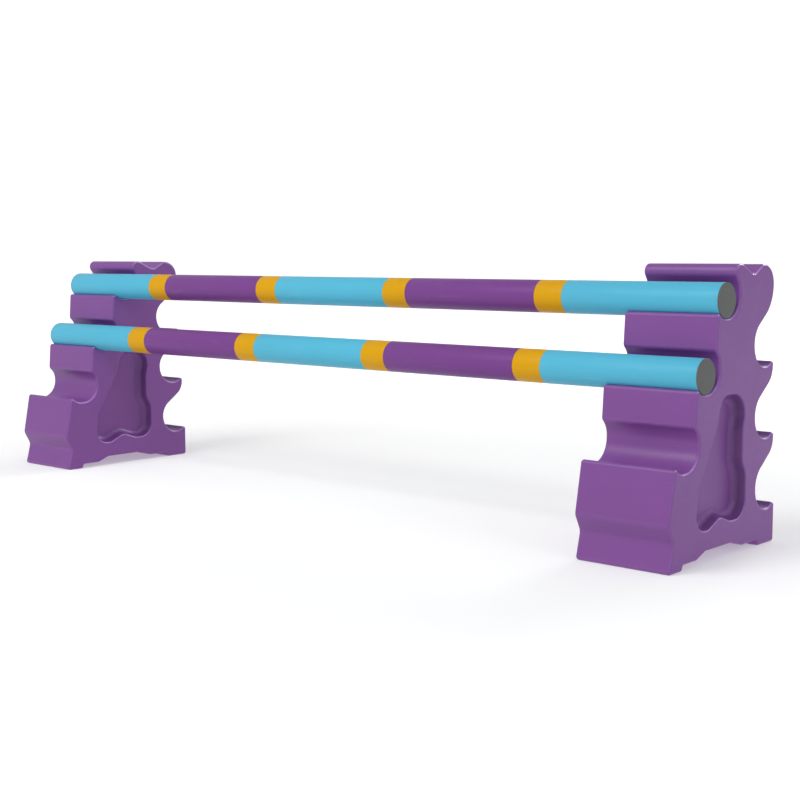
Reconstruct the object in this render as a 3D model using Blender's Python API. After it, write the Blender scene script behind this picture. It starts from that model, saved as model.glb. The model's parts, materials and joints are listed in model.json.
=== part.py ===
"""Training hurdle: two hollow moulded blocks with stepped cups hold two striped poles.

The poles run along X and the blocks' stepped fronts face -Y.  The outlines below are written
in millimetres in a block's own side view: y runs from the front lip to the rear foot, z up.
"""
import math

import bmesh
import bpy
from mathutils import Matrix, Vector

MM = 0.001
TOUCH_GAP = 0.3
MIN_EDGE = 0.5
ARC_ERROR = 0.3

# Driving dimensions, in millimetres.
POLE_LENGTH = 3000.0
POLE_RADIUS = 50.0
HURDLE_LENGTH = 3010.0
BLOCK_WIDTH = 300.0
BLOCK_DEPTH = 600.0
BLOCK_HEIGHT = 820.0

# Front cups: where the lowest pole lies, and the step from each cup to the next one up.
FIRST_CUP_Y = 77.5
FIRST_CUP_FLOOR = 265.0
CUP_STEP_Y = 106.5
CUP_STEP_Z = 202.5

# Rear cups: the centre of the lowest one, and the step to the next one up.
REAR_CUP_RADIUS = 67.0
REAR_CUP_Y = 551.0
REAR_CUP_Z = 171.0
REAR_STEP_Y = -12.0
REAR_STEP_Z = 209.5
REAR_SLOPE = math.radians(36.0)

# Wall, edge rounding and side recess of a block.
WALL = 5.0
RIM_RADIUS = 8.0
RIM_STEPS = 1
RECESS_DEPTH = 36.0
RECESS_DRAFT = 12.0
VENT_RADIUS = 12.0
VENT_Y = 275.0
ARCH_HEIGHT = 34.0
PLUG_LIP = 4.0
PLUG_HEAD = 3.0
PLUG_EDGE = 1.0
PLUG_STEM = 4.0
PLUG_TIP = 3.0

# Poles: a tube, flush coloured sleeves and an end cap at each end.
CORE_RADIUS = 48.0
CORE_WALL = 4.0
CAP_FLANGE = 4.0
CAP_EDGE = 3.0
CAP_SPIGOT = 45.0
CAP_WALL = 4.0
LONG_BAND = 520.0
SHORT_BAND = 100.0
BAND_COLOURS = ("blue", "yellow", "purple", "yellow", "blue", "yellow", "purple", "yellow", "blue")
ROUND_STEPS = 32

# Linear colour, roughness and metallic value of each material.
MATERIALS = {
    "purple_block": ((0.195, 0.062, 0.285), 0.48, 0.0),
    "purple": ((0.195, 0.060, 0.285), 0.38, 0.0),
    "blue": ((0.075, 0.440, 0.640), 0.36, 0.0),
    "yellow": ((0.800, 0.400, 0.020), 0.36, 0.0),
    "white_tube": ((0.720, 0.720, 0.700), 0.45, 0.0),
    "dark_cap": ((0.080, 0.080, 0.082), 0.55, 0.0),
    "vent_plug": ((0.050, 0.050, 0.052), 0.60, 0.0),
}


def clear_scene():
    """Remove every object that the opened scene already holds."""
    for item in list(bpy.data.objects):
        bpy.data.objects.remove(item, do_unlink=True)


def material(name):
    """Return the named material, made the first time that it is asked for."""
    found = bpy.data.materials.get(name)
    if found:
        return found
    colour, roughness, metallic = MATERIALS[name]
    made = bpy.data.materials.new(name)
    made.use_nodes = True
    shader = made.node_tree.nodes["Principled BSDF"]
    shader.inputs["Base Color"].default_value = (*colour, 1.0)
    shader.inputs["Roughness"].default_value = roughness
    shader.inputs["Metallic"].default_value = metallic
    made.diffuse_color = (*colour, 1.0)
    return made


def add_object(name, mesh, material_name, parent=None):
    """Link a mesh into the scene as one named part."""
    made = bpy.data.objects.new(name, mesh)
    bpy.context.scene.collection.objects.link(made)
    if material_name:
        made.data.materials.clear()
        made.data.materials.append(material(material_name))
    made.parent = parent
    return made


def add_empty(name, place):
    """An empty stands on a moving body's joint axis and carries its parts."""
    made = bpy.data.objects.new(name, None)
    made.empty_display_size = 0.05
    made.location = place
    bpy.context.scene.collection.objects.link(made)
    return made


# Outlines -------------------------------------------------------------------------------------

def rounded(corners, arc_error):
    """Turn (y, z, radius) corners into a closed smooth outline, each corner one arc.

    Two arcs that would meet on the edge between them are both made smaller to fit it.
    """
    count = len(corners)
    points = [Vector(corner[:2]) for corner in corners]
    before = [(points[i - 1] - points[i]).normalized() for i in range(count)]
    after = [(points[(i + 1) % count] - points[i]).normalized() for i in range(count)]
    half_angles = [before[i].angle(after[i]) / 2 for i in range(count)]
    reach = [corners[i][2] / math.tan(half_angles[i]) for i in range(count)]
    share = [1.0] * count
    for i in range(count):
        j = (i + 1) % count
        fit = (points[j] - points[i]).length * 0.999 / (reach[i] + reach[j])
        share[i] = min(share[i], fit)
        share[j] = min(share[j], fit)
    outline = []
    for i in range(count):
        radius = corners[i][2] * share[i]
        middle = (before[i] + after[i]).normalized()
        centre = points[i] + middle * radius / math.sin(half_angles[i])
        start = points[i] + before[i] * reach[i] * share[i] - centre
        turn = math.pi - 2 * half_angles[i]
        side = math.copysign(turn, before[i].y * after[i].x - before[i].x * after[i].y)
        widest = 2 * math.acos(1 - min(0.5, arc_error / radius))
        steps = max(2, math.ceil(turn / widest))
        for step in range(steps + 1):
            point = centre + Matrix.Rotation(side * step / steps, 2) @ start
            if not outline or (point - outline[-1]).length > MIN_EDGE:
                outline.append(point)
    return outline


def offset(outline, distance):
    """Move a closed outline outwards by a distance, or inwards by a negative one."""
    area = sum(a.x * b.y - a.y * b.x for a, b in zip(outline, outline[1:] + outline[:1]))
    side = math.copysign(1.0, area)
    moved = []
    for index, point in enumerate(outline):
        before = (point - outline[index - 1]).normalized()
        after = (outline[(index + 1) % len(outline)] - point).normalized()
        normal = Vector((before.y + after.y, -before.x - after.x)).normalized() * side
        stretch = max(0.5, normal.dot(Vector((after.y, -after.x)) * side))
        moved.append(point + normal * distance / stretch)
    return moved


def front_cup(index):
    """Corners of one front cup, from its lip over its floor and back to the lip above.

    The floor is one pole radius and a little more round under the resting pole, and the wall
    behind it is wider, so that the pole lifts out forwards and up.
    """
    y = FIRST_CUP_Y + index * CUP_STEP_Y
    floor = FIRST_CUP_FLOOR + index * CUP_STEP_Z
    return [
        (y - 48.6, floor + 23.5, 9.5),
        (y - 18.6, floor, 54.0),
        (y + 75.0, floor, 66.0),
        (y + 75.0, floor + 95.2, 56.0),
        (y + 49.5, floor + 118.3, 16.0),
    ]


def top_front_cup():
    """The top front cup runs out under the round nose instead of another lip."""
    lip, seat, back_low, back_high, _ = front_cup(2)
    back_high = (back_high[0], BLOCK_HEIGHT - 64.2, 62.0)
    nose_y = back_high[0] - 23.8
    nose = [(nose_y, BLOCK_HEIGHT - 30.2, 23.0), (nose_y, BLOCK_HEIGHT, 23.0)]
    return [lip, seat, back_low, back_high] + nose


def rear_cup(index):
    """Corners of one rear cup, from the bulge above it down to the tip of its hook."""
    y = REAR_CUP_Y + index * REAR_STEP_Y
    z = REAR_CUP_Z + index * REAR_STEP_Z
    radius = REAR_CUP_RADIUS
    touch = math.pi / 2 + REAR_SLOPE
    half = (math.pi - touch) / 2
    floor = z - radius
    above_y = y + REAR_STEP_Y + 49.0 if index < 2 else 568.0
    run = above_y - y - radius * math.cos(touch)
    bulge_z = z + radius * math.sin(touch) + run * math.tan(REAR_SLOPE)
    bulge_radius = 64.0 if index < 2 else 108.0
    return [
        (above_y, bulge_z, bulge_radius),
        (y - radius, z + radius * math.tan(half), radius),
        (y - radius, floor, radius),
        (y + 20.0, floor, 56.0),
        (y + 49.0, floor + 23.0, 9.5),
    ]


def block_outline(arc_error):
    """Side outline of a block, clockwise from the front lower corner, centred on its depth."""
    foot_front = [(3.0, 0.0, 10.0), (24.0, 80.0, 26.0), (-2.2, 130.0, 26.0)]
    crown = [
        (379.7, BLOCK_HEIGHT, 15.0),
        (446.6, BLOCK_HEIGHT - 32.0, 30.0),
        (500.0, BLOCK_HEIGHT - 2.5, 12.0),
        (568.0, BLOCK_HEIGHT - 2.5, 58.0),
    ]
    underside = [
        (BLOCK_DEPTH, 0.0, 10.0),
        (506.0, 0.0, 9.5),
        (498.0, 17.0, 6.0),
        (414.0, 17.0, 20.0),
        (345.0, ARCH_HEIGHT, 20.0),
        (200.0, ARCH_HEIGHT, 20.0),
        (152.0, 16.0, 20.0),
        (80.0, 16.0, 6.0),
        (74.0, 0.0, 9.5),
    ]
    corners = foot_front + front_cup(0) + front_cup(1) + top_front_cup() + crown
    corners += rear_cup(2) + rear_cup(1) + rear_cup(0) + underside
    outline = rounded(corners, arc_error)
    front = min(point.x for point in outline)
    rear = max(point.x for point in outline)
    middle = Vector(((front + rear) / 2, 0.0))
    return [point - middle for point in outline]


def recess_outline(arc_error):
    """Boot-shaped outline of the recess in each side of a block."""
    corners = [
        (140.0, 91.0, 50.0),
        (153.0, 212.0, 90.0),
        (253.0, 378.0, 90.0),
        (271.0, 458.0, 54.0),
        (427.0, 458.0, 62.0),
        (397.0, 352.0, 50.0),
        (397.0, 262.0, 50.0),
        (420.0, 226.0, 60.0),
        (420.0, 98.0, 56.0),
        (338.0, 98.0, 44.0),
        (276.0, 119.0, 46.0),
        (212.0, 91.0, 44.0),
    ]
    middle = Vector((BLOCK_DEPTH / 2, 0.0))
    return [point - middle for point in rounded(corners, arc_error)]


# Solids ---------------------------------------------------------------------------------------

def skin(name, rings, capped):
    """Skin a stack of equal rings, each a list of points in metres, into one solid.

    The stack is closed with a face at both ends, or by joining its last ring to its first.
    """
    shape = bmesh.new()
    loops = [[shape.verts.new(point) for point in ring] for ring in rings]
    pairs = list(zip(loops, loops[1:] + loops[:1]))
    if capped:
        pairs.pop()
        shape.faces.new(loops[0])
        shape.faces.new(loops[-1])
    for low, high in pairs:
        for index in range(len(low)):
            after = (index + 1) % len(low)
            shape.faces.new((low[index], low[after], high[after], high[index]))
    bmesh.ops.recalc_face_normals(shape, faces=shape.faces)
    mesh = bpy.data.meshes.new(name)
    shape.to_mesh(mesh)
    shape.free()
    return smoothed(mesh)


def smoothed(mesh):
    """Shade a mesh smooth, but for its sharp edges."""
    mesh.shade_smooth()
    mesh.set_sharp_from_angle(angle=math.radians(30.0))
    return mesh


def place(outline, x):
    """Stand a side-view outline up at a distance x along the poles."""
    return [Vector((x, point.x, point.y)) * MM for point in outline]


def block_body():
    """Outer solid of a block, its rim rounded all round both sides."""
    outline = block_outline(ARC_ERROR)
    half = BLOCK_WIDTH / 2
    profile = []
    for step in range(RIM_STEPS + 1):
        angle = math.pi / 2 * step / RIM_STEPS
        inset = RIM_RADIUS * (1 - math.sin(angle))
        across = half - RIM_RADIUS * (1 - math.cos(angle))
        profile.append((across, inset))
    sides = [(-x, inset) for x, inset in profile] + [(x, inset) for x, inset in reversed(profile)]
    rings = [place(offset(outline, -inset), x) for x, inset in sides]
    return skin("body", rings, capped=True)


def block_cavity():
    """Inner hollow of a block, one wall inside its outline."""
    inner = offset(block_outline(3 * ARC_ERROR), -WALL)
    half = BLOCK_WIDTH / 2 - WALL
    return skin("cavity", [place(inner, -half), place(inner, half)], capped=True)


def recess_plug(side, grow):
    """Drafted plug that fills one side recess, grown all round by a wall for the cavity."""
    outline = offset(recess_outline(3 * ARC_ERROR), grow)
    face = BLOCK_WIDTH / 2
    floor = face - RECESS_DEPTH - grow
    rings = [
        place(offset(outline, RECESS_DRAFT / RECESS_DEPTH), side * (face + 1.0)),
        place(offset(outline, -RECESS_DRAFT), side * floor),
    ]
    return skin("recess", rings, capped=True)


def turned_about_x(name, profile, capped):
    """Turn an (x, radius) profile about X, closed on itself or by its two end faces."""
    rings = []
    for x, radius in profile:
        ring = []
        for step in range(ROUND_STEPS):
            angle = 2 * math.pi * step / ROUND_STEPS
            ring.append(Vector((x, radius * math.cos(angle), radius * math.sin(angle))) * MM)
        rings.append(ring)
    return skin(name, rings, capped)


def turned_about_z(name, profile):
    """Turn an open (z, radius) profile about Z, with a face at both ends."""
    steps = ROUND_STEPS // 2
    rings = []
    for z, radius in profile:
        ring = []
        for step in range(steps):
            angle = 2 * math.pi * step / steps
            ring.append(Vector((radius * math.cos(angle), radius * math.sin(angle), z)) * MM)
        rings.append(ring)
    return skin(name, rings, capped=True)


def subtract(target, cutters):
    """Cut solids out of a target object, and leave one plain mesh behind."""
    for cutter in cutters:
        cut = target.modifiers.new("cut", "BOOLEAN")
        cut.operation = "DIFFERENCE"
        cut.solver = "EXACT"
        cut.object = cutter
    bpy.context.view_layer.update()
    graph = bpy.context.evaluated_depsgraph_get()
    result = bpy.data.meshes.new_from_object(target.evaluated_get(graph))
    for item in [target] + cutters:
        bpy.data.objects.remove(item, do_unlink=True)
    return result


def block_mesh():
    """Hollow block: the body less its recesses, less the cavity that keeps one wall."""
    cavity = add_object("cavity", block_cavity(), None)
    bumps = [add_object("bump", recess_plug(side, WALL), None) for side in (-1, 1)]
    hollow = add_object("hollow", subtract(cavity, bumps), None)
    recesses = [add_object("recess", recess_plug(side, 0.0), None) for side in (-1, 1)]
    vent_height = ARCH_HEIGHT + WALL / 2
    vent_mesh = turned_about_z("vent", [(-WALL, VENT_RADIUS), (WALL, VENT_RADIUS)])
    vent = add_object("vent", vent_mesh, None)
    vent.location = Vector((0.0, VENT_Y - BLOCK_DEPTH / 2, vent_height)) * MM
    body = add_object("body", block_body(), None)
    return smoothed(subtract(body, recesses + [hollow, vent]))


def add_block(name, mesh, x):
    """One block, with the plug that closes the moulding vent in its underside."""
    stand = add_empty(name + "_stand", Vector((x, 0.0, 0.0)) * MM)
    add_object(name + "_block", mesh, "purple_block", stand)
    head = VENT_RADIUS + PLUG_LIP
    stem = VENT_RADIUS - TOUCH_GAP
    seat = ARCH_HEIGHT - TOUCH_GAP
    stem_top = ARCH_HEIGHT + WALL + PLUG_STEM
    profile = [
        (seat - PLUG_HEAD, head - PLUG_EDGE),
        (seat - PLUG_HEAD + PLUG_EDGE, head),
        (seat, head),
        (seat, stem),
        (stem_top, stem),
        (stem_top + PLUG_TIP, stem - PLUG_TIP),
    ]
    plug_mesh = turned_about_z("vent_plug", profile)
    plug = add_object(name + "_vent_plug", plug_mesh, "vent_plug", stand)
    plug.location = Vector((0.0, VENT_Y - BLOCK_DEPTH / 2, 0.0)) * MM


def band_lengths():
    """Each band's colour and its two ends along a pole, end caps left out."""
    bands = []
    start = -POLE_LENGTH / 2
    for index, colour in enumerate(BAND_COLOURS):
        end = start + (SHORT_BAND if colour == "yellow" else LONG_BAND)
        low = start + (CAP_FLANGE + TOUCH_GAP if index == 0 else TOUCH_GAP / 2)
        high = end - (CAP_FLANGE + TOUCH_GAP if index == len(BAND_COLOURS) - 1 else TOUCH_GAP / 2)
        bands.append((colour, low, high))
        start = end
    return bands


def add_pole(name, cup_index):
    """One pole lying in a front cup: tube, nine flush sleeves and two end caps.

    Both poles are pushed along until they end flush with the right block's outer face.
    """
    y = FIRST_CUP_Y + cup_index * CUP_STEP_Y - BLOCK_DEPTH / 2
    z = FIRST_CUP_FLOOR + cup_index * CUP_STEP_Z + POLE_RADIUS + TOUCH_GAP
    x = (HURDLE_LENGTH - POLE_LENGTH) / 2
    axis = add_empty(name + "_axis", Vector((x, y, z)) * MM)
    tube_end = POLE_LENGTH / 2 - CAP_FLANGE - TOUCH_GAP
    bore = CORE_RADIUS - CORE_WALL
    tube = [(-tube_end, CORE_RADIUS), (tube_end, CORE_RADIUS), (tube_end, bore), (-tube_end, bore)]
    tube_mesh = turned_about_x("core_tube", tube, capped=False)
    add_object(name + "_core_tube", tube_mesh, "white_tube", axis)
    sleeve_bore = CORE_RADIUS + TOUCH_GAP
    for number, (colour, low, high) in enumerate(band_lengths(), start=1):
        ring = [(low, POLE_RADIUS), (high, POLE_RADIUS), (high, sleeve_bore), (low, sleeve_bore)]
        sleeve_mesh = turned_about_x("sleeve", ring, capped=False)
        add_object(f"{name}_sleeve_{number}_{colour}", sleeve_mesh, colour, axis)
    for side, word in ((-1, "left"), (1, "right")):
        add_object(f"{name}_{word}_cap", cap_mesh(side, bore), "dark_cap", axis)


def cap_mesh(side, bore):
    """End cap: a flush disc with a rounded edge, and a hollow spigot inside the tube."""
    end = POLE_LENGTH / 2
    back = end - CAP_FLANGE
    spigot = bore - TOUCH_GAP
    edge_slope = CAP_EDGE * (1 - math.cos(math.radians(45.0)))
    profile = [
        (end, POLE_RADIUS - CAP_EDGE),
        (end - edge_slope, POLE_RADIUS - edge_slope),
        (end - CAP_EDGE, POLE_RADIUS),
        (back, POLE_RADIUS),
        (back, spigot),
        (back - CAP_SPIGOT, spigot),
        (back - CAP_SPIGOT, spigot - CAP_WALL),
        (back, spigot - CAP_WALL),
    ]
    return turned_about_x("cap", [(side * x, radius) for x, radius in profile], capped=True)


def main():
    """Two like blocks, and a pole in each of their two upper front cups."""
    clear_scene()
    mesh = block_mesh()
    block_x = (HURDLE_LENGTH - BLOCK_WIDTH) / 2
    add_block("left", mesh, -block_x)
    add_block("right", mesh, block_x)
    add_pole("upper_pole", 2)
    add_pole("lower_pole", 1)


main()
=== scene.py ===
"""Looks of the training hurdle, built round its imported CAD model.

The blocks, sleeves, caps and plugs are fine meshes that stand for their CAD nodes.  Outlines are
in millimetres in a block's own side view, y from the front lip to the rear foot and z up, as in
the CAD model; everything placed in the scene is in metres.
"""
import json
import math

import bmesh
import bpy
from mathutils import Matrix, Vector
from mathutils.geometry import tessellate_polygon


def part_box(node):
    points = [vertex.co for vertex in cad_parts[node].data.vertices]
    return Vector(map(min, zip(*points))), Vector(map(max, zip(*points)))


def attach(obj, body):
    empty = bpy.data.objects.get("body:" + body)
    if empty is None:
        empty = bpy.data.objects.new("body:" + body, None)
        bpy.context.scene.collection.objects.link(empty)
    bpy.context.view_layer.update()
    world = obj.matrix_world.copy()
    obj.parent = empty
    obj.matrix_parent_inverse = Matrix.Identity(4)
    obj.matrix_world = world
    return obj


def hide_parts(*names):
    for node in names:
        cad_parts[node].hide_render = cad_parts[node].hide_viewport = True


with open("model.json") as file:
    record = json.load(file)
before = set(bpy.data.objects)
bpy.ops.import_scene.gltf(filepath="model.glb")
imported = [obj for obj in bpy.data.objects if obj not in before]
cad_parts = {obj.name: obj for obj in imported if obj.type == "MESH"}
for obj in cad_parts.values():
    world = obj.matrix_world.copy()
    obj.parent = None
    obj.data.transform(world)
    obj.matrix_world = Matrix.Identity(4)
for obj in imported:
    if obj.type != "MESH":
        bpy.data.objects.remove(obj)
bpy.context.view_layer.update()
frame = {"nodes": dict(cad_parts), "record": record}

MM = 0.001

# Block, in millimetres, as in the CAD model.
BLOCK_DEPTH = 600.0
BLOCK_HEIGHT = 820.0
FIRST_CUP_Y = 77.5
FIRST_CUP_FLOOR = 265.0
CUP_STEP_Y = 106.5
CUP_STEP_Z = 202.5
CUP_BACK = 75.0
REAR_CUP_RADIUS = 67.0
REAR_CUP_Y = 551.0
REAR_CUP_Z = 171.0
REAR_STEP_Y = -12.0
REAR_STEP_Z = 209.5
REAR_SLOPE = math.radians(36.0)
HOOK_REACH = 49.0
CROWN_REAR_Y = 568.0
CROWN_REAR_Z = BLOCK_HEIGHT - 2.5
ARCH_HEIGHT = 34.0
RECESS_DEPTH = 36.0
RECESS_DRAFT = 12.0

# Rounding of the visible surface, in millimetres.  A fillet's arc turns by at most ARC_STEP per
# edge, two arcs take up at most EDGE_SHARE of the edge between them, and a mitre is at most
# 1 / MITRE_LIMIT long.  SUPPORT is how close an extra edge lies to a bend.  The recess's profile
# runs from PATH_OUT outside its mouth to PATH_IN inside it.  Edges that turn by more than
# BLOCK_SHARP or TURNED_SHARP degrees stay sharp.
ARC_STEP = math.radians(5.0)
EDGE_SHARE = 0.999
MITRE_LIMIT = 0.5
RIM_RADIUS = 8.0
RIM_STEPS = 8
SUPPORT = 0.8
ROUND_STEPS = 96
BLOCK_SHARP = 50.0
TURNED_SHARP = 40.0
MOUTH_RADIUS = 6.0
FLOOR_RADIUS = 24.0
PATH_OUT = 20.0
PATH_IN = 60.0

# Wear and painted highlight lines, from 0 to 1: a little wear on a rim, the most wear on an outer
# bend, and painted highlight lines on the recess's two edges.  Outer bends under WEAR_RADIUS
# millimetres wear, and the sharpness narrows each painted highlight line along a rim or a recess
# edge.
WEAR_RADIUS = 40.0
HIGHLIGHT_SHARPNESS = 3
RIM_WEAR = 0.05
BEND_WEAR = 0.06
MOUTH_HIGHLIGHT = 1.0
FLOOR_EDGE_HIGHLIGHT = 0.25

# Painted shade in the recesses, from 0 to 1, against 1 on the rear wall: the other walls,
# the floor's edge, and the floor from FLOOR_FADE millimetres in.  It darkens the colour where
# the recess's walls shade it.
OTHER_WALL_SHADE = 0.20
FLOOR_EDGE_SHADE = 0.5
FLOOR_SHADE = 0.25
FLOOR_FADE = 41.0

# Poles, in millimetres.
SLEEVE_THICKNESS = 1.7
SLEEVE_EASE = 0.35
CAP_EDGE = 3.0
CAP_FLANGE = 4.0
CAP_SPIGOT = 45.0
CAP_WALL = 4.0
CORE_BORE = 44.0
FIT_GAP = 0.3

# Vent plugs, in millimetres: round edge, head beyond the stem, head's height, and lead-in.
PLUG_EDGE = 1.0
PLUG_LEDGE = 4.3
PLUG_HEAD = 3.0
PLUG_LEAD = 3.0

# Camera: place and reach in metres, turns in degrees, lens and sensor in millimetres.
CAMERA_PLACE = (3.331, -3.404, 0.860)
CAMERA_YAW = 41.77
CAMERA_PITCH = -6.25
CAMERA_ROLL = -0.233
CAMERA_LENS = 61.41
CAMERA_SENSOR = 36.0
CAMERA_REACH = 200.0

# Studio.  The floor's glow rises between FLOOR_NEAR and FLOOR_FAR metres from the middle.  The
# sky is SKY_LEVEL at its foot, falls overhead, and has a darker band low down at the rear.  Below
# the horizon it is GROUND_LEVEL.  The last three are where the lights aim.
FLOOR_GLOW = 0.310
FLOOR_RISE = 0.45
FLOOR_NEAR = 1.6
FLOOR_FAR = 8.0
BACKDROP_RADIUS = 45.0
BACKDROP_FOOT = -1.0
BACKDROP_LOW, BACKDROP_HIGH = 1.02, 1.06
SKY_LEVEL = 0.70
SKY_FALL = 0.40
GROUND_LEVEL = 0.78
HORIZON_BLUR = 0.06
REAR_FALL = 0.55
REAR_START, REAR_FULL = 0.55, 0.85
BAND_FULL, BAND_END = 0.05, 0.35
HURDLE_MIDDLE = (0.0, 0.0, 0.3)
LEFT_INSIDE = (-1.2, 0.0, 0.4)
RIGHT_OUTSIDE = (1.5, 0.0, 0.5)

# Linear colours, and one factor: how far the painted shade in the recesses darkens the block's
# colour.
BLOCK_PURPLE = (0.208, 0.068, 0.290)
PURPLE = (0.190, 0.058, 0.262)
BLUE = (0.095, 0.474, 0.664)
YELLOW = (0.705, 0.356, 0.002)
WHITE_TUBE = (0.720, 0.720, 0.700)
CAP_GREY = (0.131, 0.131, 0.128)
PLUG_BLACK = (0.050, 0.050, 0.052)
# Pale lilac of worn edges and scuffs, and of the painted highlight lines on rims.
WEAR_AND_HIGHLIGHT_LILAC = (0.600, 0.390, 0.860)
SHADE_DARKNESS = 0.28
RUB_GREY = (0.8, 0.8, 0.8)
FLOOR_LOW = (0.73, 0.73, 0.735)
FLOOR_HIGH = (0.76, 0.76, 0.76)
WHITE = (1.0, 1.0, 1.0)
BLACK = (0.0, 0.0, 0.0)
COOL_WHITE = (0.75, 0.88, 1.0)


# Outlines -------------------------------------------------------------------------------------

def fillet(corner, before, after, radius):
    """Arc that rounds a corner between its two unit directions, and its signed turn."""
    half = before.angle(after) / 2
    reach = radius / math.tan(half)
    centre = corner + (before + after).normalized() * radius / math.sin(half)
    start = corner + before * reach - centre
    side = math.copysign(math.pi - 2 * half, before.y * after.x - before.x * after.y)
    steps = max(3, math.ceil(abs(side) / ARC_STEP))
    return [centre + Matrix.Rotation(side * i / steps, 2) @ start for i in range(steps + 1)], side


def rounded(corners):
    """Turn (y, z, radius) corners, listed clockwise, into a closed list of (point, wear).

    wear is 1 on the sharpest outer bends and 0 on straights and inner bends.  Two arcs that
    would meet on the edge between them are both made smaller to fit it, as in the CAD model.
    """
    count = len(corners)
    points = [Vector(corner[:2]) for corner in corners]
    before = [(points[i - 1] - points[i]).normalized() for i in range(count)]
    after = [(points[(i + 1) % count] - points[i]).normalized() for i in range(count)]
    reach = [corners[i][2] / math.tan(before[i].angle(after[i]) / 2) for i in range(count)]
    share = [1.0] * count
    for i in range(count):
        j = (i + 1) % count
        fit = (points[j] - points[i]).length * EDGE_SHARE / (reach[i] + reach[j])
        share[i] = min(share[i], fit)
        share[j] = min(share[j], fit)
    outline = []
    for i in range(count):
        j = (i + 1) % count
        arc, side = fillet(points[i], before[i], after[i], corners[i][2] * share[i])
        wear_and_highlight = max(0.0, 1.0 - corners[i][2] / WEAR_RADIUS) if side < 0 else 0.0
        outline += [(point, wear_and_highlight) for point in arc]
        straight = (points[j] - points[i]).length - reach[i] * share[i] - reach[j] * share[j]
        if straight > 4 * SUPPORT:
            outline.append((arc[-1] + after[i] * SUPPORT, 0.0))
            outline.append((arc[-1] + after[i] * (straight - SUPPORT), 0.0))
    return outline


def outward(points):
    """Outward normal at each point of a closed clockwise outline, and its mitre's shortening."""
    normals = []
    for index, point in enumerate(points):
        before = (point - points[index - 1]).normalized()
        after = (points[(index + 1) % len(points)] - point).normalized()
        normal = Vector((-before.y - after.y, before.x + after.x)).normalized()
        shorten = max(MITRE_LIMIT, normal.dot(Vector((-after.y, after.x))))
        normals.append((normal, shorten))
    return normals


def offset(points, distance):
    """Move a closed clockwise outline outwards by a distance, or inwards by a negative one."""
    pairs = zip(points, outward(points))
    return [point + normal * distance / shorten for point, (normal, shorten) in pairs]


def wear_and_upward_highlight(points, direction):
    """Wear and painted highlight of a rim at each point of its outline, the highlight most where
    the rim faces up.

    direction is 1 for the outline of a solid and -1 for the outline of a hole.
    """
    lifts = [max(0.0, direction * normal.y) for normal, _ in outward(points)]
    return [RIM_WEAR + (1.0 - RIM_WEAR) * lift ** 2 for lift in lifts]


def recess_shade(points):
    """How much painted shade a recess gets at each point of its outline, most on the rear wall."""
    rears = [max(0.0, normal.x) for normal, _ in outward(points)]
    return [OTHER_WALL_SHADE + (1.0 - OTHER_WALL_SHADE) * rear for rear in rears]


def front_cup(index):
    """Corners of one front cup, from its lip over its floor and back to the lip above."""
    y = FIRST_CUP_Y + index * CUP_STEP_Y
    floor = FIRST_CUP_FLOOR + index * CUP_STEP_Z
    return [
        (y - 48.6, floor + 23.5, 9.5),
        (y - 18.6, floor, 54.0),
        (y + CUP_BACK, floor, 66.0),
        (y + CUP_BACK, floor + 95.2, 56.0),
        (y + 49.5, floor + 118.3, 16.0),
    ]


def top_front_cup():
    """The top front cup runs out under the round nose instead of another lip."""
    lip, seat, back_low, back_high, _ = front_cup(2)
    back_high = (back_high[0], BLOCK_HEIGHT - 64.2, 62.0)
    nose_y = back_high[0] - 23.8
    nose = [(nose_y, BLOCK_HEIGHT - 30.2, 23.0), (nose_y, BLOCK_HEIGHT, 23.0)]
    return [lip, seat, back_low, back_high] + nose


def rear_cup(index):
    """Corners of one rear cup, from the bulge above it down to the tip of its hook."""
    y = REAR_CUP_Y + index * REAR_STEP_Y
    z = REAR_CUP_Z + index * REAR_STEP_Z
    radius = REAR_CUP_RADIUS
    touch = math.pi / 2 + REAR_SLOPE
    half = (math.pi - touch) / 2
    floor = z - radius
    above_y = y + REAR_STEP_Y + HOOK_REACH if index < 2 else CROWN_REAR_Y
    run = above_y - y - radius * math.cos(touch)
    bulge_z = z + radius * math.sin(touch) + run * math.tan(REAR_SLOPE)
    bulge_radius = 64.0 if index < 2 else 108.0
    return [
        (above_y, bulge_z, bulge_radius),
        (y - radius, z + radius * math.tan(half), radius),
        (y - radius, floor, radius),
        (y + 20.0, floor, 56.0),
        (y + HOOK_REACH, floor + 23.0, 9.5),
    ]


def block_outline():
    """Side outline of a block, clockwise from the front lower corner, centred on its depth."""
    foot_front = [(3.0, 0.0, 10.0), (24.0, 80.0, 26.0), (-2.2, 130.0, 26.0)]
    crown = [
        (379.7, BLOCK_HEIGHT, 15.0),
        (446.6, BLOCK_HEIGHT - 32.0, 30.0),
        (500.0, CROWN_REAR_Z, 12.0),
        (CROWN_REAR_Y, CROWN_REAR_Z, 58.0),
    ]
    underside = [
        (BLOCK_DEPTH, 0.0, 10.0),
        (506.0, 0.0, 9.5),
        (498.0, 17.0, 6.0),
        (414.0, 17.0, 20.0),
        (345.0, ARCH_HEIGHT, 20.0),
        (200.0, ARCH_HEIGHT, 20.0),
        (152.0, 16.0, 20.0),
        (80.0, 16.0, 6.0),
        (74.0, 0.0, 9.5),
    ]
    corners = foot_front + front_cup(0) + front_cup(1) + top_front_cup() + crown
    corners += rear_cup(2) + rear_cup(1) + rear_cup(0) + underside
    outline = rounded(corners)
    front = min(point.x for point, _ in outline)
    rear = max(point.x for point, _ in outline)
    middle = Vector(((front + rear) / 2, 0.0))
    return [(point - middle, wear_and_highlight) for point, wear_and_highlight in outline]


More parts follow.
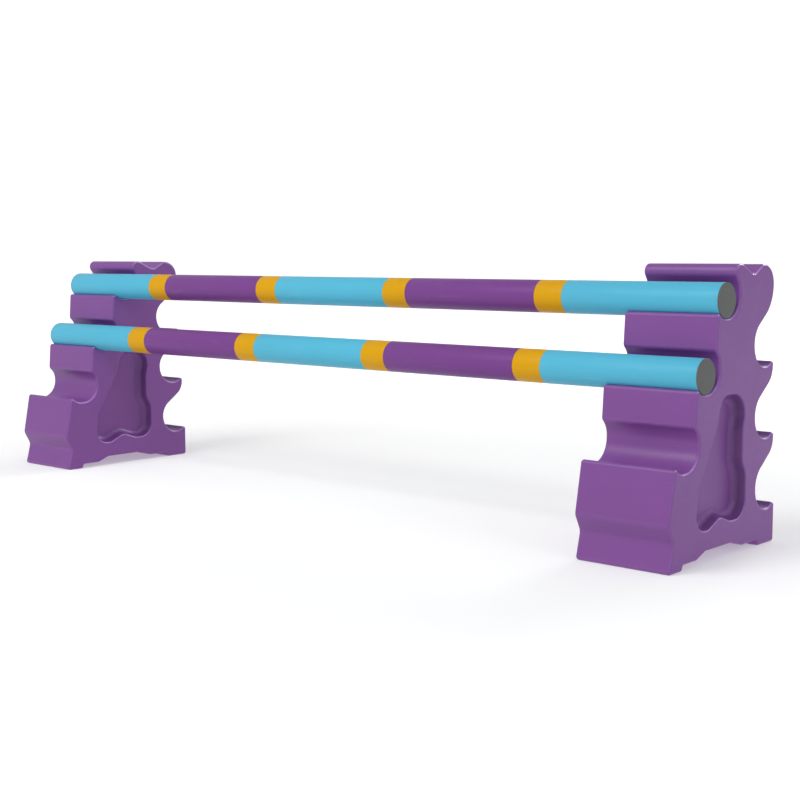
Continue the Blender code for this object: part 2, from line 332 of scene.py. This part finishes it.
def recess_outline():
    """Boot-shaped outline of the recess in each side of a block."""
    corners = [
        (140.0, 91.0, 50.0),
        (153.0, 212.0, 90.0),
        (253.0, 378.0, 90.0),
        (271.0, 458.0, 54.0),
        (427.0, 458.0, 62.0),
        (397.0, 352.0, 50.0),
        (397.0, 262.0, 50.0),
        (420.0, 226.0, 60.0),
        (420.0, 98.0, 56.0),
        (338.0, 98.0, 44.0),
        (276.0, 119.0, 46.0),
        (212.0, 91.0, 44.0),
    ]
    middle = Vector((BLOCK_DEPTH / 2, 0.0))
    return [point - middle for point, _ in rounded(corners)]


def recess_profile():
    """(inset, depth, painted highlight, painted shade) steps from the side face, down the wall and
    onto the floor.
    """
    path = [
        (Vector((-PATH_OUT, 0.0)), 0.0),
        (Vector((0.0, 0.0)), MOUTH_RADIUS),
        (Vector((RECESS_DRAFT, RECESS_DEPTH)), FLOOR_RADIUS),
        (Vector((PATH_IN, RECESS_DEPTH)), 0.0),
    ]
    profile = []
    for (last, _), (corner, radius), (onward, _) in zip(path, path[1:], path[2:]):
        before = (last - corner).normalized()
        after = (onward - corner).normalized()
        arc, _ = fillet(corner, before, after, radius)
        at_mouth = corner.y == 0.0
        for step, point in enumerate(arc):
            way = step / (len(arc) - 1)
            # Painted highlight lines along the mouth's and the floor's rounded edges, and painted
            # shade that rises over the mouth, fills the wall and fades across the floor's edge.
            bulge = math.sin(math.pi * way) ** HIGHLIGHT_SHARPNESS
            wear_and_highlight_level = (MOUTH_HIGHLIGHT if at_mouth else FLOOR_EDGE_HIGHLIGHT) * bulge
            painted_shade = point.y / MOUTH_RADIUS if at_mouth else 1.0 - (1.0 - FLOOR_EDGE_SHADE) * way
            profile.append((point.x, point.y, wear_and_highlight_level, min(1.0, painted_shade)))
    outer = (profile[0][0] - SUPPORT, 0.0, 0.0, 0.0)
    inner = (profile[-1][0] + SUPPORT, RECESS_DEPTH, 0.0, FLOOR_EDGE_SHADE)
    middle = (FLOOR_FADE, RECESS_DEPTH, 0.0, FLOOR_SHADE)
    return [outer] + profile + [inner, middle]


# Mesh building --------------------------------------------------------------------------------

def bridge(shape, low, high):
    """Join two equal closed loops of vertices by quads."""
    for index in range(len(low)):
        after = (index + 1) % len(low)
        shape.faces.new((low[index], low[after], high[after], high[index]))


def fill(shape, outer, holes=()):
    """Fill a flat loop of vertices, less the holes inside it, with triangles."""
    loops = [outer, *holes]
    verts = [vert for loop in loops for vert in loop]
    for triangle in tessellate_polygon([[vert.co for vert in loop] for loop in loops]):
        shape.faces.new([verts[index] for index in triangle])


def finish_piece(shape, name, sharp_degrees):
    """Turn a bmesh into a smooth-shaded object that faces outwards."""
    bmesh.ops.recalc_face_normals(shape, faces=shape.faces)
    mesh = bpy.data.meshes.new(name)
    shape.to_mesh(mesh)
    shape.free()
    mesh.shade_smooth()
    mesh.set_sharp_from_angle(angle=math.radians(sharp_degrees))
    piece = bpy.data.objects.new(name, mesh)
    bpy.context.scene.collection.objects.link(piece)
    return piece


def side_loop(shape, points, wear_and_highlight_values, painted_shade, x, middle):
    """Vertices of a side-view outline at a place x in metres, with their wear and painted
    highlight, and their painted shade.
    """
    wear_and_highlight_layer = shape.verts.layers.float["wear_and_highlight"]
    painted_shade_layer = shape.verts.layers.float["painted_shade"]
    loop = []
    for point, wear_and_highlight_level, shade_level in zip(points, wear_and_highlight_values, painted_shade):
        vert = shape.verts.new(Vector((x, middle + point.x * MM, point.y * MM)))
        vert[wear_and_highlight_layer] = wear_and_highlight_level
        vert[painted_shade_layer] = shade_level
        loop.append(vert)
    return loop


def rim_profile():
    """(metres across, inset, painted highlight) steps round a side face's rim, with a support at
    each end.
    """
    rim = [(0.0, RIM_RADIUS + SUPPORT, 0.0)]
    for step in range(RIM_STEPS + 1):
        angle = math.pi / 2 * step / RIM_STEPS
        across = RIM_RADIUS * (1 - math.cos(angle)) * MM
        # A thin painted highlight line along the middle of the rim's rounding.
        wear_and_highlight_level = math.sin(2 * angle) ** HIGHLIGHT_SHARPNESS
        rim.append((across, RIM_RADIUS * (1 - math.sin(angle)), wear_and_highlight_level))
    rim.append((rim[-1][0] + SUPPORT * MM, 0.0, 0.0))
    return rim


def block_loops(shape, low, high):
    """Loops of one block's outer surface, from its left side face to its right one."""
    middle = (low.y + high.y) / 2
    points, wear_and_highlight_values = zip(*block_outline())
    depth = max(point.x for point in points) - min(point.x for point in points)
    points = [Vector((point.x * (high.y - low.y) / MM / depth, point.y)) for point in points]
    rim = rim_profile()
    stack = [(low.x + across, inset, wear_and_highlight_level) for across, inset, wear_and_highlight_level in rim]
    stack += [(high.x - across, inset, wear_and_highlight_level) for across, inset, wear_and_highlight_level in reversed(rim)]
    loops = []
    # Painted highlight lines on rims that face up, and no painted shade on the outer surface.
    rub = wear_and_upward_highlight(points, 1.0)
    unshaded = [0.0] * len(points)
    for x, inset, wear_and_highlight_level in stack:
        ring = offset(points, -inset) if inset else points
        fade = BEND_WEAR * max(0.0, 1.0 - inset / RIM_RADIUS)
        wear_and_highlight = [max(wear_and_highlight_level * share, fade * bend) for share, bend in zip(rub, wear_and_highlight_values)]
        loops.append(side_loop(shape, ring, wear_and_highlight, unshaded, x, middle))
    return loops


def recess_rings(shape, face_x, inward, middle):
    """Rings of the recess in a side face at face_x, where inward is 1 or -1 along X."""
    recess = recess_outline()
    # Painted highlight lines where the recess's edges face up, and painted shade most on its rear
    # wall.
    rub = wear_and_upward_highlight(recess, -1.0)
    shade_by_wall = recess_shade(recess)
    rings = []
    for inset, depth, wear_and_highlight_level, painted_shade in recess_profile():
        ring = offset(recess, -inset)
        x = face_x + inward * depth * MM
        wear_and_highlight = [wear_and_highlight_level * share for share in rub]
        ring_shade = [painted_shade * share for share in shade_by_wall]
        rings.append(side_loop(shape, ring, wear_and_highlight, ring_shade, x, middle))
    return rings


def block_piece(name, node):
    """Fine outer surface of one block, with round rims and a soft recess in each side."""
    low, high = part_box(node)
    shape = bmesh.new()
    # Per-vertex wear with painted highlight lines, and painted shade in the recesses.
    shape.verts.layers.float.new("wear_and_highlight")
    shape.verts.layers.float.new("painted_shade")
    loops = block_loops(shape, low, high)
    for lower, upper in zip(loops, loops[1:]):
        bridge(shape, lower, upper)
    for rim_loop, face_x, inward in ((loops[0], low.x, 1.0), (loops[-1], high.x, -1.0)):
        rings = recess_rings(shape, face_x, inward, (low.y + high.y) / 2)
        for outer, inner in zip(rings, rings[1:]):
            bridge(shape, outer, inner)
        fill(shape, rim_loop, [rings[0]])
        fill(shape, rings[-1])
    return finish_piece(shape, name, BLOCK_SHARP)


def turned_piece(name, profile, axis, centre, capped):
    """Turn an (along, radius) profile in metres about an axis, closed on itself or by two faces."""
    shape = bmesh.new()
    loops = []
    for along, radius in profile:
        loop = []
        for step in range(ROUND_STEPS):
            angle = 2 * math.pi * step / ROUND_STEPS
            first, second = radius * math.cos(angle), radius * math.sin(angle)
            local = (along, first, second) if axis == "X" else (first, second, along)
            loop.append(shape.verts.new(Vector(centre) + Vector(local)))
        loops.append(loop)
    for low, high in zip(loops, loops[1:]):
        bridge(shape, low, high)
    if capped:
        shape.faces.new(loops[0])
        shape.faces.new(loops[-1])
    else:
        bridge(shape, loops[-1], loops[0])
    return finish_piece(shape, name, TURNED_SHARP)


def round_edge(end, radius, size, inward, steps=4):
    """Round edge from (end, radius - size) on the end face to (end + size, radius)."""
    points = []
    for step in range(steps + 1):
        angle = math.pi / 2 * step / steps
        along = end + inward * size * (1 - math.cos(angle))
        points.append((along, radius - size * (1 - math.sin(angle))))
    return points


def sleeve_piece(name, node):
    """One coloured sleeve with lightly eased ends."""
    low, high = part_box(node)
    radius = (high.z - low.z) / 2
    centre = (0.0, (low.y + high.y) / 2, (low.z + high.z) / 2)
    bore = radius - SLEEVE_THICKNESS * MM
    ease = SLEEVE_EASE * MM
    profile = [(low.x, bore)] + round_edge(low.x, radius, ease, 1.0)
    profile += round_edge(high.x, radius, ease, -1.0)[::-1] + [(high.x, bore)]
    return turned_piece(name, profile, "X", centre, capped=False)


def cap_piece(name, node):
    """End cap: a flat disc with a round edge, and a hollow spigot inside the tube."""
    low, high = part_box(node)
    radius = (high.z - low.z) / 2
    centre = (0.0, (low.y + high.y) / 2, (low.z + high.z) / 2)
    facing = 1.0 if high.x > 0.0 else -1.0
    end = high.x if facing > 0 else low.x
    back = end - facing * CAP_FLANGE * MM
    tip = back - facing * CAP_SPIGOT * MM
    spigot = (CORE_BORE - FIT_GAP) * MM
    profile = round_edge(end, radius, CAP_EDGE * MM, -facing, steps=8)
    profile += [(back, radius), (back, spigot), (tip, spigot)]
    profile += [(tip, spigot - CAP_WALL * MM), (back, spigot - CAP_WALL * MM)]
    return turned_piece(name, profile, "X", centre, capped=True)


def plug_piece(name, node):
    """Vent plug: a round-edged head under the block, and its stem up in the vent."""
    low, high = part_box(node)
    centre = ((low.x + high.x) / 2, (low.y + high.y) / 2, 0.0)
    head = (high.x - low.x) / 2
    stem = head - PLUG_LEDGE * MM
    seat = low.z + PLUG_HEAD * MM
    lead = PLUG_LEAD * MM
    profile = round_edge(low.z, head, PLUG_EDGE * MM, 1.0)
    profile += [(seat, head), (seat, stem), (high.z - lead, stem), (high.z, stem - lead)]
    return turned_piece(name, profile, "Z", centre, capped=True)


# Materials ------------------------------------------------------------------------------------

def start_material(name, roughness, gloss):
    """A new Principled material, with its nodes, its shader and object coordinates.

    The roughness is the plain value, which most materials then vary by nodes.
    """
    made = bpy.data.materials.new(name)
    made.use_nodes = True
    tree = made.node_tree
    shader = tree.nodes["Principled BSDF"]
    shader.inputs["Roughness"].default_value = roughness
    shader.inputs["Specular IOR Level"].default_value = gloss
    coordinates = tree.nodes.new("ShaderNodeTexCoord").outputs["Object"]
    return made, tree, shader, coordinates


def noise(tree, coordinates, scale, detail=2.0, stretch=(1.0, 1.0, 1.0)):
    """Noise with scale features per metre, stretched along the axes by a factor each."""
    mapping = tree.nodes.new("ShaderNodeMapping")
    mapping.inputs["Scale"].default_value = stretch
    tree.links.new(coordinates, mapping.inputs["Vector"])
    made = tree.nodes.new("ShaderNodeTexNoise")
    made.inputs["Scale"].default_value = scale
    made.inputs["Detail"].default_value = detail
    tree.links.new(mapping.outputs["Vector"], made.inputs["Vector"])
    return made.outputs["Fac"]


def spread(tree, value, low, high, to_low, to_high):
    """Map a value from one range to another, clamped at both ends."""
    made = tree.nodes.new("ShaderNodeMapRange")
    made.inputs["From Min"].default_value = low
    made.inputs["From Max"].default_value = high
    made.inputs["To Min"].default_value = to_low
    made.inputs["To Max"].default_value = to_high
    tree.links.new(value, made.inputs["Value"])
    return made.outputs["Result"]


def combine(tree, operation, first, second):
    """Arithmetic on two values, each a socket or a number."""
    made = tree.nodes.new("ShaderNodeMath")
    made.operation = operation
    for value, socket in zip((first, second), made.inputs):
        if isinstance(value, (int, float)):
            socket.default_value = value
        else:
            tree.links.new(value, socket)
    return made.outputs["Value"]


def blend_colour(tree, factor, first, second):
    """Mix two colours, each a socket or three linear numbers."""
    made = tree.nodes.new("ShaderNodeMix")
    made.data_type = "RGBA"
    tree.links.new(factor, made.inputs["Factor"])
    for value, socket in ((first, made.inputs[6]), (second, made.inputs[7])):
        if isinstance(value, tuple):
            socket.default_value = (*value, 1.0)
        else:
            tree.links.new(value, socket)
    return made.outputs[2]


def attribute(tree, name):
    """A value that a piece's mesh holds at its vertices."""
    made = tree.nodes.new("ShaderNodeAttribute")
    made.attribute_name = name
    return made.outputs["Fac"]


def scaled(colour, factor):
    """A colour made lighter or darker."""
    return tuple(min(1.0, channel * factor) for channel in colour)


def bump(tree, height, distance, strength, below=None):
    """A bump of so many metres, on top of the bump below it."""
    made = tree.nodes.new("ShaderNodeBump")
    made.inputs["Strength"].default_value = strength
    made.inputs["Distance"].default_value = distance
    tree.links.new(height, made.inputs["Height"])
    if below:
        tree.links.new(below, made.inputs["Normal"])
    return made.outputs["Normal"]


def moulded_plastic():
    """Block plastic: faint cloudiness, orange-peel skin, scuffs, painted shade in the recesses, and
    pale worn edges with painted highlight lines.
    """
    made, tree, shader, coordinates = start_material(
        "block_plastic_moulded", roughness=0.36, gloss=0.34)
    cloud = noise(tree, coordinates, scale=8.0, detail=3.0)
    mottle = noise(tree, coordinates, scale=70.0, detail=3.0)
    grain = noise(tree, coordinates, scale=620.0)
    streaks = noise(tree, coordinates, scale=60.0, detail=4.0, stretch=(0.25, 1.0, 5.0))
    colour = blend_colour(tree, cloud, scaled(BLOCK_PURPLE, 0.93), scaled(BLOCK_PURPLE, 1.07))
    speck = spread(tree, grain, 0.35, 0.75, 0.0, 0.16)
    colour = blend_colour(tree, speck, colour, scaled(BLOCK_PURPLE, 1.5))
    scuff = spread(tree, streaks, 0.66, 0.80, 0.0, 0.06)
    colour = blend_colour(tree, scuff, colour, WEAR_AND_HIGHLIGHT_LILAC)
    # Painted shade in the recesses, broken up a little.
    shade_patches = spread(tree, cloud, 0.3, 0.7, 0.5, 0.7)
    painted_shade = combine(tree, "MULTIPLY", attribute(tree, "painted_shade"), shade_patches)
    colour = blend_colour(tree, painted_shade, colour, scaled(BLOCK_PURPLE, SHADE_DARKNESS))
    # Pale worn edges and painted highlight lines on rims.
    breakup = spread(tree, mottle, 0.35, 0.70, 0.50, 0.90)
    wear_and_highlight_level = combine(tree, "MULTIPLY", attribute(tree, "wear_and_highlight"), breakup)
    colour = blend_colour(tree, wear_and_highlight_level, colour, WEAR_AND_HIGHLIGHT_LILAC)
    tree.links.new(colour, shader.inputs["Base Color"])
    roughness = combine(tree, "ADD", spread(tree, mottle, 0.3, 0.7, 0.32, 0.40), scuff)
    tree.links.new(roughness, shader.inputs["Roughness"])
    swell = noise(tree, coordinates, scale=14.0, detail=1.0)
    wave = bump(tree, swell, distance=0.0012, strength=0.25)
    dimples = noise(tree, coordinates, scale=190.0)
    peel = bump(tree, dimples, distance=0.00025, strength=0.30, below=wave)
    skin = bump(tree, grain, distance=0.00010, strength=0.35, below=peel)
    tree.links.new(skin, shader.inputs["Normal"])
    return made


def extruded_plastic(name, colour_value):
    """Sleeve plastic: long faint draw lines, fine grain, and a few rubbed streaks."""
    made, tree, shader, coordinates = start_material(name, roughness=0.36, gloss=0.12)
    cloud = noise(tree, coordinates, scale=6.0, stretch=(0.5, 1.0, 1.0))
    draw = noise(tree, coordinates, scale=420.0, detail=3.0, stretch=(0.02, 1.0, 1.0))
    grain = noise(tree, coordinates, scale=900.0)
    rub = noise(tree, coordinates, scale=26.0, detail=4.0, stretch=(0.4, 2.2, 2.2))
    colour = blend_colour(tree, cloud, scaled(colour_value, 0.95), scaled(colour_value, 1.05))
    line = spread(tree, draw, 0.40, 0.70, 0.0, 0.10)
    colour = blend_colour(tree, line, colour, scaled(colour_value, 1.25))
    scuff = spread(tree, rub, 0.62, 0.78, 0.0, 0.04)
    colour = blend_colour(tree, scuff, colour, RUB_GREY)
    tree.links.new(colour, shader.inputs["Base Color"])
    base_roughness = spread(tree, rub, 0.3, 0.7, 0.32, 0.41)
    tree.links.new(combine(tree, "ADD", base_roughness, scuff), shader.inputs["Roughness"])
    lines = bump(tree, draw, distance=0.00012, strength=0.20)
    skin = bump(tree, grain, distance=0.00006, strength=0.25, below=lines)
    tree.links.new(skin, shader.inputs["Normal"])
    return made


def dull_plastic(name, colour_value, roughness, grain_scale):
    """Matt plastic or rubber of the caps, plugs and core tubes, with a pebbled skin."""
    made, tree, shader, coordinates = start_material(name, roughness, gloss=0.2)
    cloud = noise(tree, coordinates, scale=30.0, detail=3.0)
    grain = noise(tree, coordinates, grain_scale, detail=3.0)
    colour = blend_colour(tree, cloud, scaled(colour_value, 0.90), scaled(colour_value, 1.10))
    speck = spread(tree, grain, 0.50, 0.80, 0.0, 0.25)
    colour = blend_colour(tree, speck, colour, scaled(colour_value, 1.7))
    tree.links.new(colour, shader.inputs["Base Color"])
    finish = spread(tree, cloud, 0.3, 0.7, roughness - 0.05, roughness + 0.05)
    tree.links.new(finish, shader.inputs["Roughness"])
    skin = bump(tree, grain, distance=0.00015, strength=0.35)
    tree.links.new(skin, shader.inputs["Normal"])
    return made


# Pieces on their bodies -----------------------------------------------------------------------

def body_of_node(node):
    """The CAD body that holds a node."""
    for body, nodes in frame["record"]["behaviour"]["bodies"].items():
        if node in nodes:
            return body
    raise ValueError(node)


def dress(build, node, finish):
    """Build the fine piece that stands for a CAD node, and join it to the node's body."""
    piece = build(node + "_surface", node)
    piece.data.materials.append(finish)
    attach(piece, body_of_node(node))
    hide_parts(node)


def add_pieces():
    """Every visible piece of the hurdle."""
    finishes = {
        "block_plastic": moulded_plastic(),
        "blue_sleeve": extruded_plastic("blue_sleeve_plastic", BLUE),
        "yellow_sleeve": extruded_plastic("yellow_sleeve_plastic", YELLOW),
        "purple_sleeve": extruded_plastic("purple_sleeve_plastic", PURPLE),
        "end_cap": dull_plastic(
            "end_cap_plastic", CAP_GREY, roughness=0.60, grain_scale=700.0),
        "vent_plug": dull_plastic(
            "vent_plug_rubber", PLUG_BLACK, roughness=0.65, grain_scale=900.0),
        "core_tube": dull_plastic(
            "core_tube_plastic", WHITE_TUBE, roughness=0.45, grain_scale=800.0),
    }
    builders = {"block_plastic": block_piece, "end_cap": cap_piece, "vent_plug": plug_piece}
    for part in frame["record"]["subparts"]:
        node, slot = part["node"], part["material_slot"]
        if slot == "core_tube":
            tube = frame["nodes"][node]
            tube.data.materials.clear()
            tube.data.materials.append(finishes[slot])
        else:
            dress(builders.get(slot, sleeve_piece), node, finishes[slot])


# Studio ---------------------------------------------------------------------------------------

def add_floor():
    """Wide pale floor.  The world below the horizon gives the light that it would throw up."""
    mesh = bpy.data.meshes.new("floor")
    reach = 2 * BACKDROP_RADIUS
    corners = [(-reach, -reach, 0), (reach, -reach, 0), (reach, reach, 0), (-reach, reach, 0)]
    mesh.from_pydata(corners, [], [(0, 1, 2, 3)])
    floor = bpy.data.objects.new("floor", mesh)
    bpy.context.scene.collection.objects.link(floor)
    made, tree, shader, coordinates = start_material(
        "floor_pale", roughness=0.9, gloss=0.0)
    cloud = noise(tree, coordinates, scale=1.5)
    colour = blend_colour(tree, cloud, FLOOR_LOW, FLOOR_HIGH)
    tree.links.new(colour, shader.inputs["Base Color"])
    distance = tree.nodes.new("ShaderNodeVectorMath")
    distance.operation = "LENGTH"
    tree.links.new(coordinates, distance.inputs[0])
    away = distance.outputs["Value"]
    glow = spread(tree, away, FLOOR_NEAR, FLOOR_FAR, FLOOR_GLOW, FLOOR_GLOW + FLOOR_RISE)
    tree.links.new(glow, shader.inputs["Emission Strength"])
    shader.inputs["Emission Color"].default_value = (*WHITE, 1.0)
    mesh.materials.append(made)
    floor.visible_diffuse = False


def add_backdrop():
    """Round white wall far behind everything, which only the camera sees."""
    shape = bmesh.new()
    turns = [2 * math.pi * step / ROUND_STEPS for step in range(ROUND_STEPS)]
    round_points = [(BACKDROP_RADIUS * math.cos(t), BACKDROP_RADIUS * math.sin(t)) for t in turns]
    loops = []
    for height in (BACKDROP_FOOT, BACKDROP_RADIUS):
        loops.append([shape.verts.new((x, y, height)) for x, y in round_points])
    bridge(shape, *loops)
    wall = finish_piece(shape, "backdrop", TURNED_SHARP)
    made, tree, shader, coordinates = start_material(
        "backdrop_white", roughness=0.9, gloss=0.0)
    shader.inputs["Base Color"].default_value = (*BLACK, 1.0)
    shader.inputs["Emission Color"].default_value = (*WHITE, 1.0)
    cloud = noise(tree, coordinates, scale=0.05)
    glow = spread(tree, cloud, 0.3, 0.7, BACKDROP_LOW, BACKDROP_HIGH)
    tree.links.new(glow, shader.inputs["Emission Strength"])
    wall.data.materials.append(made)
    wall.visible_diffuse = False
    wall.visible_glossy = False
    wall.visible_shadow = False
    wall.visible_transmission = False


def add_sky():
    """Pale grey world, darker overhead and low down at the rear.

    Below the horizon it stands for the light that the floor throws up.
    """
    world = bpy.data.worlds.new("studio_sky")
    world.use_nodes = True
    tree = world.node_tree
    background = tree.nodes["Background"]
    direction = tree.nodes.new("ShaderNodeTexCoord").outputs["Generated"]
    split = tree.nodes.new("ShaderNodeSeparateXYZ")
    tree.links.new(direction, split.inputs["Vector"])
    rearward, upward = split.outputs["Y"], split.outputs["Z"]
    level = spread(tree, upward, -HORIZON_BLUR, HORIZON_BLUR, GROUND_LEVEL, SKY_LEVEL)
    level = combine(tree, "MULTIPLY", level, spread(tree, upward, 0.0, 1.0, 1.0, 1.0 - SKY_FALL))
    at_rear = spread(tree, rearward, REAR_START, REAR_FULL, 0.0, REAR_FALL)
    steepness = combine(tree, "ABSOLUTE", upward, 0.0)
    low_down = spread(tree, steepness, BAND_FULL, BAND_END, 1.0, 0.0)
    band = combine(tree, "MULTIPLY", at_rear, low_down)
    level = combine(tree, "MULTIPLY", level, combine(tree, "SUBTRACT", 1.0, band))
    tint = blend_colour(tree, level, BLACK, WHITE)
    tree.links.new(tint, background.inputs["Color"])
    background.inputs["Strength"].default_value = 1.0
    bpy.context.scene.world = world


def add_light(name, place, target, size, watts, colour=WHITE, only_gleams=False):
    """Soft box that faces a target, and may show only as a gleam on edges that mirror it."""
    data = bpy.data.lights.new(name, "AREA")
    data.shape = "RECTANGLE"
    data.size, data.size_y = size
    data.energy = watts
    data.color = colour
    light = bpy.data.objects.new(name, data)
    light.visible_camera = False
    light.visible_diffuse = not only_gleams
    light.location = place
    aim = Vector(target) - Vector(place)
    light.rotation_euler = aim.to_track_quat("-Z", "Y").to_euler()
    bpy.context.scene.collection.objects.link(light)


def add_camera():
    """Camera at the viewing angle of the reference picture."""
    yaw, pitch, roll = (math.radians(turn) for turn in (CAMERA_YAW, CAMERA_PITCH, CAMERA_ROLL))
    level = math.cos(pitch)
    ahead = Vector((-math.sin(yaw) * level, math.cos(yaw) * level, math.sin(pitch)))
    level_right = Vector((math.cos(yaw), math.sin(yaw), 0.0))
    level_up = level_right.cross(ahead)
    right = level_right * math.cos(roll) + level_up * math.sin(roll)
    up = level_up * math.cos(roll) - level_right * math.sin(roll)
    data = bpy.data.cameras.new("camera")
    data.lens = CAMERA_LENS
    data.sensor_width = CAMERA_SENSOR
    data.clip_end = CAMERA_REACH
    camera = bpy.data.objects.new("camera", data)
    camera.matrix_world = Matrix((
        (right.x, up.x, -ahead.x, CAMERA_PLACE[0]),
        (right.y, up.y, -ahead.y, CAMERA_PLACE[1]),
        (right.z, up.z, -ahead.z, CAMERA_PLACE[2]),
        (0.0, 0.0, 0.0, 1.0),
    ))
    bpy.context.scene.collection.objects.link(camera)
    bpy.context.scene.camera = camera


add_pieces()
add_floor()
add_backdrop()
add_sky()
add_light("front_box", (-0.9, -4.8, 5.1), HURDLE_MIDDLE, size=(3.6, 3.6), watts=222.0)
add_light("rear_box", (0.3, 6.7, 4.4), HURDLE_MIDDLE, size=(3.0, 2.4), watts=140.0)
add_light("side_box", (8.0, -1.5, 3.2), LEFT_INSIDE, size=(3.0, 2.4), watts=85.0,
          colour=COOL_WHITE)
add_light("gleam_box", (1.9, 6.1, 3.8), RIGHT_OUTSIDE, size=(1.2, 0.8), watts=90.0,
          only_gleams=True)
add_camera()
bpy.context.scene.view_settings.view_transform = "Standard"
